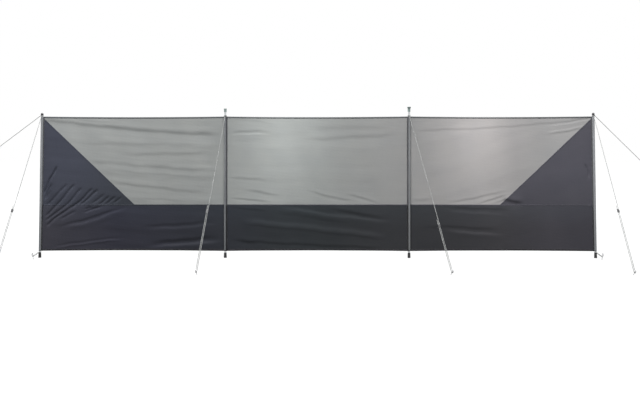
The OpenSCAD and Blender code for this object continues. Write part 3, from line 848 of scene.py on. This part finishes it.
SLANT_TOP = CLOTH_HIGH - SEAM_CLEAR
LEFT_SEAM_ENDS = ((left_slant(SLANT_TOP), SLANT_TOP), (left_slant(SEAM), SEAM))
RIGHT_SEAM_ENDS = ((right_slant(SEAM), SEAM), (right_slant(SLANT_TOP), SLANT_TOP))
LEVEL_SEAM_ENDS = ((cloth_left(SEAM) + SEAM_CLEAR, SEAM), (cloth_right(SEAM) - SEAM_CLEAR, SEAM))
# The seams take the corner cloth with its painted sky sheen.
SEAMS = [felled_seam("slant_seam_left", *LEFT_SEAM_ENDS, CORNER_CLOTH_PAINTED_SHEEN),
         felled_seam("slant_seam_right", *RIGHT_SEAM_ENDS, CORNER_CLOTH_PAINTED_SHEEN),
         felled_seam("level_seam", *LEVEL_SEAM_ENDS, CORNER_CLOTH_PAINTED_SHEEN)]


def stitch_row(x, z, out, face):
    """Stitches along a line of points: small pointed lozenges that lie on the cloth."""
    gaps = np.hypot(np.diff(x), np.diff(z))
    travelled = np.concatenate([[0.0], np.cumsum(gaps)])
    middles = np.arange(0.5 * STITCH_PITCH, travelled[-1], STITCH_PITCH)
    ends = []
    for offset in (-0.5, 0.5):
        reach = np.clip(middles + offset * STITCH_LENGTH, 0.0, travelled[-1])
        ends.append((np.interp(reach, travelled, x), np.interp(reach, travelled, z)))
    (x_a, z_a), (x_b, z_b) = ends
    length = np.hypot(x_b - x_a, z_b - z_a)
    side_x = -(z_b - z_a) / length * 0.5 * STITCH_WIDTH
    side_z = (x_b - x_a) / length * 0.5 * STITCH_WIDTH
    x_m, z_m = 0.5 * (x_a + x_b), 0.5 * (z_a + z_b)
    corners = [off_cloth(x_a, z_a, out, face), off_cloth(x_b, z_b, out, face),
               off_cloth(x_m + side_x, z_m + side_z, out, face),
               off_cloth(x_m - side_x, z_m - side_z, out, face),
               off_cloth(x_m, z_m, out + STITCH_RISE, face), off_cloth(x_m, z_m, out - STITCH_RISE, face)]
    return np.stack(corners, axis=1).reshape(-1, 3)


# Faces of one stitch, between its two ends, its two sides, its top and its underside
LOZENGE = [(0, 2, 4), (2, 1, 4), (1, 3, 4), (3, 0, 4), (2, 0, 5), (1, 2, 5), (3, 1, 5), (0, 3, 5)]


def stitching(name, rows, material):
    points = np.concatenate(rows)
    faces = [tuple(first + corner for corner in face)
             for first in range(0, len(points), 6) for face in LOZENGE]
    piece = piece_from(name, points, faces, material, smooth=False)
    turn_outward(piece)
    settle(piece, "tape_cloth")
    return piece


def seam_stitches(ends, face):
    x, z, across = seam_line(*ends)
    return [stitch_row(x + side * across[0], z + side * across[1], SEAM_RISE, face)
            for side in (-SEAM_STITCH_OFF, SEAM_STITCH_OFF)]


# How far out the stitches beside a pole lie, how far stitches stand off the cloth's face, and how far
# from the ends of an edge they stop
SEWN_EDGE_OUT = SLEEVE_RADIUS + 0.93 * SLEEVE_EDGE
FOLD_EDGE_OUT = SLEEVE_RADIUS + 0.0018
ON_SLEEVE = 0.0019
ON_CLOTH = 0.0001
ON_TAPE = 0.0006
UPRIGHT_CLEAR = 0.014
EDGE_CLEAR = 0.02
UPRIGHT_POINTS = 120
EDGE_POINTS = 700


def sleeve_stitches(pole, face):
    z = np.linspace(CLOTH_LOW + UPRIGHT_CLEAR, CLOTH_HIGH - UPRIGHT_CLEAR, UPRIGHT_POINTS)
    inner_side = 1 if pole < 2 else -1
    rows = []
    for side in (inner_side,) if pole in (0, 3) else (-1, 1):
        x = pole_at(pole, z) + side * (SEWN_EDGE_OUT if side == inner_side else FOLD_EDGE_OUT)
        out = ON_SLEEVE if side == inner_side and face > 0 else ON_CLOTH
        rows.append(stitch_row(x, z, out, face))
    return rows


def edge_stitches(edge, inward, face):
    x = np.linspace(cloth_left(CLOTH_HIGH) + EDGE_CLEAR, cloth_right(CLOTH_HIGH) - EDGE_CLEAR, EDGE_POINTS)
    return [stitch_row(x, edge(x) + inward * 0.8 * TAPE_HEIGHT, ON_TAPE, face)]


DARK_ROWS = []
LIGHT_ROWS = []
for face in (1, -1):
    for ends in (LEFT_SEAM_ENDS, RIGHT_SEAM_ENDS, LEVEL_SEAM_ENDS):
        DARK_ROWS += seam_stitches(ends, face)
    DARK_ROWS += edge_stitches(cloth_top, -1.0, face) + edge_stitches(cloth_bottom, 1.0, face)
    for pole in range(4):
        LIGHT_ROWS += sleeve_stitches(pole, face)
DARK_STITCHES = stitching("seam_stitches", DARK_ROWS, DARK_THREAD)
LIGHT_STITCHES = stitching("sleeve_stitches", LIGHT_ROWS, LIGHT_THREAD)


# Guys of three-strand twisted cord

STRANDS = 3
ROUND = 12
LAY_LENGTH = 0.024
CORD_STEP = 0.003
RING_STEPS = 28
KNOT_STEPS = 36
LOOP_STEPS = 9

# Knots as the size of the knot and the radius of its cord
TIE_KNOT = (0.0062, 0.0011)
RUNNER_KNOT = (0.0092, 0.0016)
KNOT_GAP = 0.0002


def twisted_tube(path, radius, closed=False):
    """Points and faces of a three-strand cord along a path, twisted as laid cord is."""
    path = np.asarray(path)
    ahead = np.roll(path, -1, axis=0) - path if closed else np.gradient(path, axis=0)
    tangents = ahead / np.linalg.norm(ahead, axis=1)[:, None]
    steps = np.linalg.norm(np.diff(path, axis=0), axis=1)
    travelled = np.concatenate([[0.0], np.cumsum(steps)])
    whole = travelled[-1] + (np.linalg.norm(path[0] - path[-1]) if closed else 0.0)
    turns = max(1, round(whole / LAY_LENGTH)) / whole
    side = np.cross(tangents[0], (0.3, 0.5, 0.81))
    rings = []
    for point, tangent, distance in zip(path, tangents, travelled):
        side = side - tangent * np.dot(side, tangent)
        side /= np.linalg.norm(side)
        other = np.cross(tangent, side)
        around = 2.0 * math.pi * np.arange(ROUND) / ROUND
        lobes = radius * (0.88 + 0.12 * np.cos(STRANDS * around))
        turned = around + 2.0 * math.pi * turns * distance
        aside = (lobes * np.cos(turned))[:, None] * side
        rings.append(point + aside + (lobes * np.sin(turned))[:, None] * other)
    faces = grid_faces(len(path), ROUND, closed=True)
    last = (len(path) - 1) * ROUND
    if closed:
        offset = min(range(ROUND), key=lambda k: np.linalg.norm(rings[-1][0] - rings[0][k]))
        faces += [(last + k, (k + offset) % ROUND, (k + 1 + offset) % ROUND, last + (k + 1) % ROUND)
                  for k in range(ROUND)]
    else:
        faces += [tuple(range(ROUND)), tuple(range(last, last + ROUND))]
    return np.concatenate(rings), faces


def straight_run(start, end):
    count = max(2, round(np.linalg.norm(end - start) / CORD_STEP))
    return [start + (end - start) * k / count for k in range(count)]


def ring_path(centre, radius):
    angles = 2.0 * math.pi * np.arange(RING_STEPS) / RING_STEPS
    return np.stack([centre[0] + radius * np.cos(angles), centre[1] + radius * np.sin(angles),
                     np.full(RING_STEPS, centre[2])], axis=1)


def overhand_knot(centre, knot):
    """A closed trefoil of cord, the shape that an overhand knot pulls into."""
    size, radius = knot
    t = 2.0 * math.pi * np.arange(KNOT_STEPS) / KNOT_STEPS
    shape = np.stack([np.sin(t) + 2.0 * np.sin(2.0 * t), np.cos(t) - 2.0 * np.cos(2.0 * t),
                      -1.2 * np.sin(3.0 * t)], axis=1)
    return twisted_tube(np.asarray(centre) + shape * size / 6.0, radius, closed=True)


def peg_loop(centre, across, up):
    """Half a turn round the peg, from one strand to the other."""
    angles = math.pi * np.arange(1, LOOP_STEPS) / LOOP_STEPS
    reach = 0.5 * STRAND_PITCH
    return [centre - reach * math.cos(a) * across - reach * math.sin(a) * up for a in angles]


def cord_piece(name, node, tubes):
    points = []
    faces = []
    for tube_points, tube_faces in tubes:
        first = sum(len(part) for part in points)
        points.append(tube_points)
        faces += [tuple(first + corner for corner in face) for face in tube_faces]
    piece = piece_from(name, np.concatenate(points), faces, GUY_CORD)
    turn_outward(piece)
    settle(piece, "guy_cord", node)


def cord_frame(start, end):
    """Directions up a cord and level across it."""
    run = end - start
    up = run / np.linalg.norm(run)
    across = np.array([-run[1], run[0], 0.0]) / math.hypot(run[0], run[1])
    return up, across


def guy(node, pole, ring_z, peg, runner_up):
    """One cord: ring on the pole, main strand, loop on the peg, return strand, knot and loose end."""
    peg = np.array(peg)
    axis = np.array([pole_at(pole, ring_z), 0.0, ring_z])
    heading = math.atan2(peg[1], peg[0] - POLE_TOPS[pole])
    start = axis + TIE_REACH * np.array([math.cos(heading), math.sin(heading), 0.0])
    aim = start + 0.5 * STRAND_PITCH * cord_frame(peg, start)[1]
    up, across = cord_frame(peg, aim)
    half = 0.5 * STRAND_PITCH * across
    knot_up = runner_up + RUNNER_LENGTH + 0.5 * KNOT_SIZE + KNOT_GAP
    tail_up = runner_up + RUNNER_LENGTH + KNOT_SIZE + TAIL_LENGTH
    path = straight_run(aim - half, peg - half) + [peg - half]
    path += peg_loop(peg, across, up)
    path += straight_run(peg + half, peg + half + tail_up * up) + [peg + half + tail_up * up]
    tubes = [twisted_tube(path, LAID_RADIUS),
             twisted_tube(ring_path(axis, RING_RADIUS), CORD_RADIUS, closed=True),
             overhand_knot(start, TIE_KNOT),
             overhand_knot(peg + half + knot_up * up, RUNNER_KNOT)]
    cord_piece("twisted_" + node, node, tubes)


def foot_cord(node, pole, outward):
    """A doubled cord from a ring over an end foot to the peg near it."""
    axis = np.array([pole_at(pole, FOOT_RING), 0.0, FOOT_RING])
    out = np.array([outward * FOOT_PEG_OUT, -FOOT_PEG_FRONT, 0.0])
    peg = np.array([axis[0] + out[0], out[1], LOOP_HEIGHT])
    reach = math.sqrt(RING_RADIUS ** 2 - 0.25 * STRAND_PITCH ** 2) + 1.2 * CORD_RADIUS
    start = axis + out / np.linalg.norm(out) * reach
    up, across = cord_frame(peg, start)
    half = 0.5 * STRAND_PITCH * across
    path = straight_run(start - half, peg - half) + [peg - half]
    path += peg_loop(peg, across, up)
    path += straight_run(peg + half, start + half) + [start + half]
    tubes = [twisted_tube(path, LAID_RADIUS),
             twisted_tube(ring_path(axis, RING_RADIUS), CORD_RADIUS, closed=True),
             overhand_knot(start - half, TIE_KNOT),
             overhand_knot(start + half, TIE_KNOT)]
    cord_piece("twisted_" + node, node, tubes)


for pole, shift in enumerate(PEG_SHIFTS):
    runner_up = RUNNER_UP_LOW if pole == 2 else RUNNER_UP
    guy("guy_front_" + POLE_NAMES[pole], pole, RING_FIRST,
        (POLE_TOPS[pole] + shift, -GUY_REACH, LOOP_HEIGHT), runner_up)
    if pole in (1, 2):
        guy("guy_back_" + POLE_NAMES[pole], pole, RING_SECOND,
            (POLE_TOPS[pole] + shift, GUY_REACH, LOOP_HEIGHT), runner_up)
guy("guy_side_left", 0, RING_SECOND, (POLE_TOPS[0] - SIDE_LEFT, SIDE_BACK, LOOP_HEIGHT), RUNNER_UP)
guy("guy_side_right", 3, RING_SECOND, (POLE_TOPS[3] + SIDE_RIGHT, SIDE_BACK, LOOP_HEIGHT), RUNNER_UP)
foot_cord("foot_loop_left", 0, -1.0)
foot_cord("foot_loop_right", 3, 1.0)


# Finishes of the rigid pieces

def finish_nodes(material, *starts):
    for name, node in NODES.items():
        if name.startswith(starts):
            node.data.materials.clear()
            node.data.materials.append(material)


finish_nodes(POLE_STEEL, "pole_")
finish_nodes(BLACK_RUBBER, "foot_left_end", "foot_left_middle", "foot_right")
finish_nodes(BLACK_PLASTIC, "knob_", "runners_")
finish_nodes(GREY_GREEN_PLASTIC, "cap_")
finish_nodes(PEG_STEEL, "pegs_", "foot_pegs")


# Floor, light and camera

CENTRE_X = 2.548
FLOOR_SIZE = 160.0
FLOOR_DOWN = 0.0005
CAMERA_FAR = 8.0
CAMERA_HIGH = 0.95
CAMERA_TURN = math.radians(0.4)


def background_rays(tree):
    """1 for the rays that should see a white background: from the camera, a mirror or a glass."""
    rays = add_node(tree, "ShaderNodeLightPath")
    either = rays.outputs["Is Camera Ray"]
    for other in ("Is Glossy Ray", "Is Transmission Ray"):
        both = add_node(tree, "ShaderNodeMath", operation="MAXIMUM")
        tree.links.new(either, both.inputs[0])
        tree.links.new(rays.outputs[other], both.inputs[1])
        either = both.outputs["Value"]
    return either


def pale_floor():
    """A pale floor that reads as white away from the object and keeps its shadow close by."""
    deselect_all()
    bpy.ops.mesh.primitive_plane_add(size=FLOOR_SIZE, location=(0.0, 0.0, -FLOOR_DOWN))
    floor = bpy.context.object
    floor.name = "floor"
    material, tree, shader = new_material("floor_white")
    shader.inputs["Base Color"].default_value = (0.11, 0.11, 0.11, 1.0)
    shader.inputs["Roughness"].default_value = 0.9
    shader.inputs["Specular IOR Level"].default_value = 0.0
    place = add_node(tree, "ShaderNodeTexCoord")
    centred = add_node(tree, "ShaderNodeVectorMath", operation="DISTANCE")
    centred.inputs[1].default_value = (CENTRE_X, 0.0, 0.0)
    tree.links.new(place.outputs["Object"], centred.inputs[0])
    lift = add_node(tree, "ShaderNodeMapRange", interpolation_type="SMOOTHSTEP")
    for socket, value in {"From Min": 3.5, "From Max": 9.0, "To Min": 0.87, "To Max": 1.0}.items():
        lift.inputs[socket].default_value = value
    tree.links.new(centred.outputs["Value"], lift.inputs["Value"])
    shown = add_node(tree, "ShaderNodeMath", operation="MULTIPLY")
    tree.links.new(background_rays(tree), shown.inputs[0])
    tree.links.new(lift.outputs["Result"], shown.inputs[1])
    shader.inputs["Emission Color"].default_value = (1.0, 1.0, 1.0, 1.0)
    tree.links.new(shown.outputs["Value"], shader.inputs["Emission Strength"])
    floor.data.materials.append(material)


def white_world(sky, strength):
    """White to look at, and a faint sky-coloured light from all round."""
    world = bpy.data.worlds.new("studio")
    SCENE.world = world
    world.use_nodes = True
    tree = world.node_tree
    seen = tree.nodes["Background"]
    seen.inputs["Color"].default_value = (1.0, 1.0, 1.0, 1.0)
    ambient = add_node(tree, "ShaderNodeBackground", Color=(*sky, 1.0), Strength=strength)
    either = add_node(tree, "ShaderNodeMixShader")
    tree.links.new(background_rays(tree), either.inputs["Fac"])
    tree.links.new(ambient.outputs["Background"], either.inputs[1])
    tree.links.new(seen.outputs["Background"], either.inputs[2])
    tree.links.new(either.outputs["Shader"], tree.nodes["World Output"].inputs["Surface"])


def hang_lamp(lamp, place, target):
    light = bpy.data.objects.new(lamp.name, lamp)
    light.location = place
    light.rotation_euler = (Vector(target) - Vector(place)).to_track_quat("-Z", "Y").to_euler()
    light.visible_camera = False
    SCENE.collection.objects.link(light)


def soft_box(name, place, target, size, power):
    lamp = bpy.data.lights.new(name, "AREA")
    lamp.size = size
    lamp.energy = power
    hang_lamp(lamp, place, target)


def soft_spot(name, place, target, cone, power, colour):
    lamp = bpy.data.lights.new(name, "SPOT")
    lamp.spot_size = math.radians(cone)
    lamp.spot_blend = 1.0
    lamp.shadow_soft_size = 0.3
    lamp.color = colour
    lamp.energy = power
    hang_lamp(lamp, place, target)


pale_floor()
white_world((0.80, 0.91, 1.0), 0.16)
soft_box("left_key", (-0.6, -5.2, 11.2), (2.6, 0.0, 0.7), 4.0, 1450.0)
soft_box("right_key", (5.8, -5.2, 11.2), (2.6, 0.0, 0.7), 4.0, 1100.0)
soft_box("back_key", (0.6, 5.4, 10.0), (2.6, 0.0, 0.7), 4.0, 1900.0)
soft_spot("middle_glow", (2.21, -1.3, 3.6), (2.21, 0.0, 1.12), 16.0, 420.0, (0.97, 1.0, 1.0))
soft_spot("right_glow", (4.0, -1.3, 3.6), (4.0, 0.0, 1.14), 16.0, 480.0, (1.0, 0.93, 0.92))

CAMERA_DATA = bpy.data.cameras.new("camera")
CAMERA_DATA.sensor_width = 36.0
CAMERA_DATA.lens = 49.53
CAMERA_DATA.shift_y = -0.0733
CAMERA = bpy.data.objects.new("camera", CAMERA_DATA)
CAMERA.location = (CENTRE_X + CAMERA_FAR * math.sin(CAMERA_TURN),
                   CLOTH_FRONT - CAMERA_FAR * math.cos(CAMERA_TURN), CAMERA_HIGH)
CAMERA.rotation_euler = (math.radians(90.0), 0.0, CAMERA_TURN)
SCENE.collection.objects.link(CAMERA)
SCENE.camera = CAMERA

SCENE.view_settings.view_transform = "Standard"
